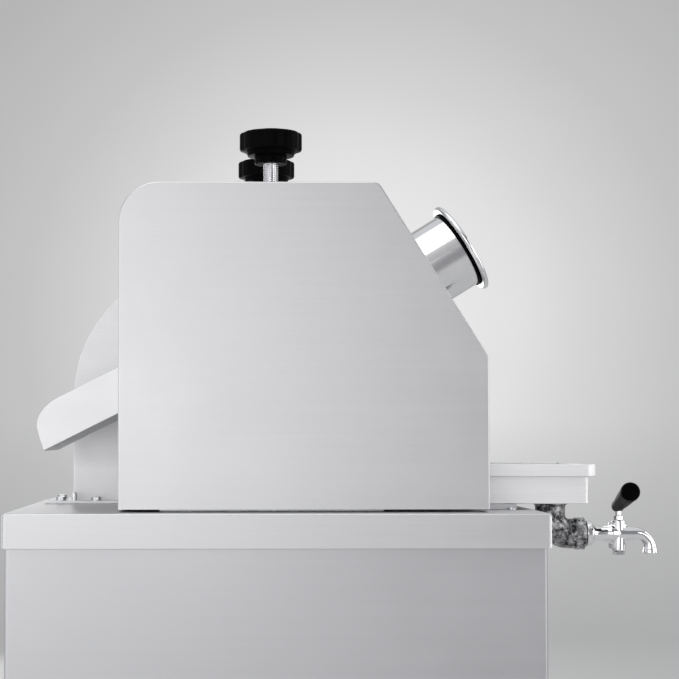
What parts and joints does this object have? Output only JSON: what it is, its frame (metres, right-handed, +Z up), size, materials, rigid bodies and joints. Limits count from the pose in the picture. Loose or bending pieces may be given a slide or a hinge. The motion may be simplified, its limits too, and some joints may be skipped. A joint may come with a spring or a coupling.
{
  "type": "sugar cane juicer",
  "caption": "Electric cabinet sugar cane juicer: geared roller press under a sheet-metal hood with feed tube, discharge chute, pull-out juice tray and tap, on castors.",
  "frame": {"origin": "on the floor under the middle of the machine's overall box", "axes": "+X to the feed and tap end, +Y to the gear case side, +Z up"},
  "size_m": [0.7023, 0.4016, 1.0404],
  "materials": {
    "stainless_panel": "satin stainless sheet with soft brushing",
    "polished_stainless": "bright polished stainless",
    "chrome": "mirror chrome plate",
    "machined_steel": "zinc-plated and machined steel",
    "cast_iron": "dark sand-cast iron",
    "motor_paint": "semi-gloss machine paint",
    "black_rubber": "matt moulded rubber",
    "black_plastic": "satin moulded phenolic",
    "red_plastic": "glossy moulded plastic"
  },
  "bodies": {
    "stand": {"table_top": "stainless_panel", "cabinet_body": "stainless_panel", "cabinet_floor": "stainless_panel", "door_hinge": "machined_steel", "vent_panel": "stainless_panel", "control_panel": "black_plastic", "cord_gland": "black_plastic", "motor_body": "motor_paint", "motor_gearbox": "cast_iron", "motor_fan_cover": "motor_paint", "drive_belt": "black_rubber", "hood": "stainless_panel", "feed_tube": "polished_stainless", "discharge_chute": "polished_stainless", "gear_case": "stainless_panel", "gear_case_lid": "stainless_panel", "frame_plate_near": "machined_steel", "frame_plate_far": "machined_steel", "frame_cap_near": "machined_steel", "frame_cap_far": "machined_steel", "trash_turner": "machined_steel", "jackshaft_bearing": "cast_iron", "tray_guide": "stainless_panel"},
    "rear_roller_set": {"rear_roller": "polished_stainless", "rear_roller_gear": "machined_steel", "bull_gear": "cast_iron"},
    "front_roller_set": {"front_roller": "polished_stainless", "front_roller_gear": "machined_steel"},
    "carriage": {"bearing_block_near": "cast_iron", "bearing_block_far": "cast_iron"},
    "top_roller_set": {"top_roller": "polished_stainless", "top_roller_gear": "machined_steel"},
    "near_screw": {"pressure_screw_near": "machined_steel", "pressure_knob_near": "black_plastic"},
    "far_screw": {"pressure_screw_far": "machined_steel", "pressure_knob_far": "black_plastic"},
    "jackshaft_set": {"jackshaft": "machined_steel", "pinion": "machined_steel", "driven_pulley": "cast_iron"},
    "motor_output": {"motor_pulley": "machined_steel"},
    "tray": {"juice_tray": "polished_stainless", "strainer": "polished_stainless", "drain_elbow": "cast_iron", "tap_body": "chrome"},
    "tap_handle": {"tap_plug": "chrome", "tap_lever": "black_plastic", "tap_nut": "chrome"},
    "door": {"cabinet_door": "stainless_panel"},
    "latch": {"door_latch": "chrome"},
    "selector": {"selector_knob": "black_plastic"},
    "stop": {"stop_button": "red_plastic"},
    "fork_rear_near": {"castor_fork_rear_near": "machined_steel"},
    "wheel_rear_near": {"castor_wheel_rear_near": "black_rubber"},
    "fork_rear_far": {"castor_fork_rear_far": "machined_steel"},
    "wheel_rear_far": {"castor_wheel_rear_far": "black_rubber"},
    "fork_front_near": {"castor_fork_front_near": "machined_steel"},
    "wheel_front_near": {"castor_wheel_front_near": "black_rubber"},
    "fork_front_far": {"castor_fork_front_far": "machined_steel"},
    "wheel_front_far": {"castor_wheel_front_far": "black_rubber"}
  },
  "joints": [
    {"name": "rear_roller_spin", "type": "hinge", "parent": "stand", "child": "rear_roller_set", "pos_m": [-0.14697, 0, 0.783], "axis": [0, 1, 0], "continuous": true},
    {"name": "front_roller_spin", "type": "hinge", "parent": "stand", "child": "front_roller_set", "pos_m": [-0.01503, 0, 0.783], "axis": [0, 1, 0], "continuous": true},
    {"name": "carriage_lift", "type": "slide", "parent": "stand", "child": "carriage", "axis": [0, 0, 1], "range_m": [0, 0.002]},
    {"name": "top_roller_spin", "type": "hinge", "parent": "carriage", "child": "top_roller_set", "pos_m": [-0.081, 0, 0.835], "axis": [0, 1, 0], "continuous": true},
    {"name": "near_screw_turn", "type": "hinge", "parent": "carriage", "child": "near_screw", "pos_m": [-0.081, -0.117, 0.95], "axis": [0, 0, 1], "range_deg": [0, 360]},
    {"name": "far_screw_turn", "type": "hinge", "parent": "carriage", "child": "far_screw", "pos_m": [-0.081, 0.077, 0.95], "axis": [0, 0, 1], "range_deg": [0, 360]},
    {"name": "jackshaft_spin", "type": "hinge", "parent": "stand", "child": "jackshaft_set", "pos_m": [-0.05596, 0.14, 0.71687], "axis": [0, 1, 0], "continuous": true},
    {"name": "motor_pulley_spin", "type": "hinge", "parent": "stand", "child": "motor_output", "pos_m": [-0.05596, 0.14, 0.2], "axis": [0, 1, 0], "continuous": true},
    {"name": "tray_slide", "type": "slide", "parent": "stand", "child": "tray", "axis": [1, 0, 0], "range_m": [0, 0.16]},
    {"name": "tap_turn", "type": "hinge", "parent": "tray", "child": "tap_handle", "pos_m": [0.307, -0.02, 0.61], "axis": [0, 0, 1], "range_deg": [0, 90]},
    {"name": "door_swing", "type": "hinge", "parent": "stand", "child": "door", "pos_m": [0.1993, 0.154, 0.335], "axis": [0, 0, 1], "range_deg": [0, 110]},
    {"name": "latch_turn", "type": "hinge", "parent": "door", "child": "latch", "pos_m": [0.1953, -0.132, 0.335], "axis": [1, 0, 0], "range_deg": [0, 90]},
    {"name": "selector_turn", "type": "hinge", "parent": "stand", "child": "selector", "pos_m": [0.105, 0.1936, 0.556], "axis": [0, 1, 0], "range_deg": [-45, 45]},
    {"name": "stop_press", "type": "slide", "parent": "stand", "child": "stop", "axis": [0, -1, 0], "range_m": [0, 0.004], "stiffness_N_per_m": 600},
    {"name": "swivel_rear_near", "type": "hinge", "parent": "stand", "child": "fork_rear_near", "pos_m": [-0.31, -0.15, 0.09], "axis": [0, 0, 1], "continuous": true},
    {"name": "roll_rear_near", "type": "hinge", "parent": "fork_rear_near", "child": "wheel_rear_near", "pos_m": [-0.292, -0.15, 0.0375], "axis": [0, 1, 0], "continuous": true},
    {"name": "swivel_rear_far", "type": "hinge", "parent": "stand", "child": "fork_rear_far", "pos_m": [-0.31, 0.15, 0.09], "axis": [0, 0, 1], "continuous": true},
    {"name": "roll_rear_far", "type": "hinge", "parent": "fork_rear_far", "child": "wheel_rear_far", "pos_m": [-0.292, 0.15, 0.0375], "axis": [0, 1, 0], "continuous": true},
    {"name": "swivel_front_near", "type": "hinge", "parent": "stand", "child": "fork_front_near", "pos_m": [0.156, -0.15, 0.09], "axis": [0, 0, 1], "continuous": true},
    {"name": "roll_front_near", "type": "hinge", "parent": "fork_front_near", "child": "wheel_front_near", "pos_m": [0.174, -0.15, 0.0375], "axis": [0, 1, 0], "continuous": true},
    {"name": "swivel_front_far", "type": "hinge", "parent": "stand", "child": "fork_front_far", "pos_m": [0.156, 0.15, 0.09], "axis": [0, 0, 1], "continuous": true},
    {"name": "roll_front_far", "type": "hinge", "parent": "fork_front_far", "child": "wheel_front_far", "pos_m": [0.174, 0.15, 0.0375], "axis": [0, 1, 0], "continuous": true}
  ],
  "couplings": [
    {"joint": "top_roller_spin", "follows": "rear_roller_spin", "ratio": -1},
    {"joint": "front_roller_spin", "follows": "rear_roller_spin", "ratio": 1},
    {"joint": "jackshaft_spin", "follows": "rear_roller_spin", "ratio": -4},
    {"joint": "motor_pulley_spin", "follows": "rear_roller_spin", "ratio": -12},
    {"joint": "near_screw_turn", "follows": "carriage_lift", "rad_per_m": 3141.6},
    {"joint": "far_screw_turn", "follows": "carriage_lift", "rad_per_m": 3141.6}
  ]
}
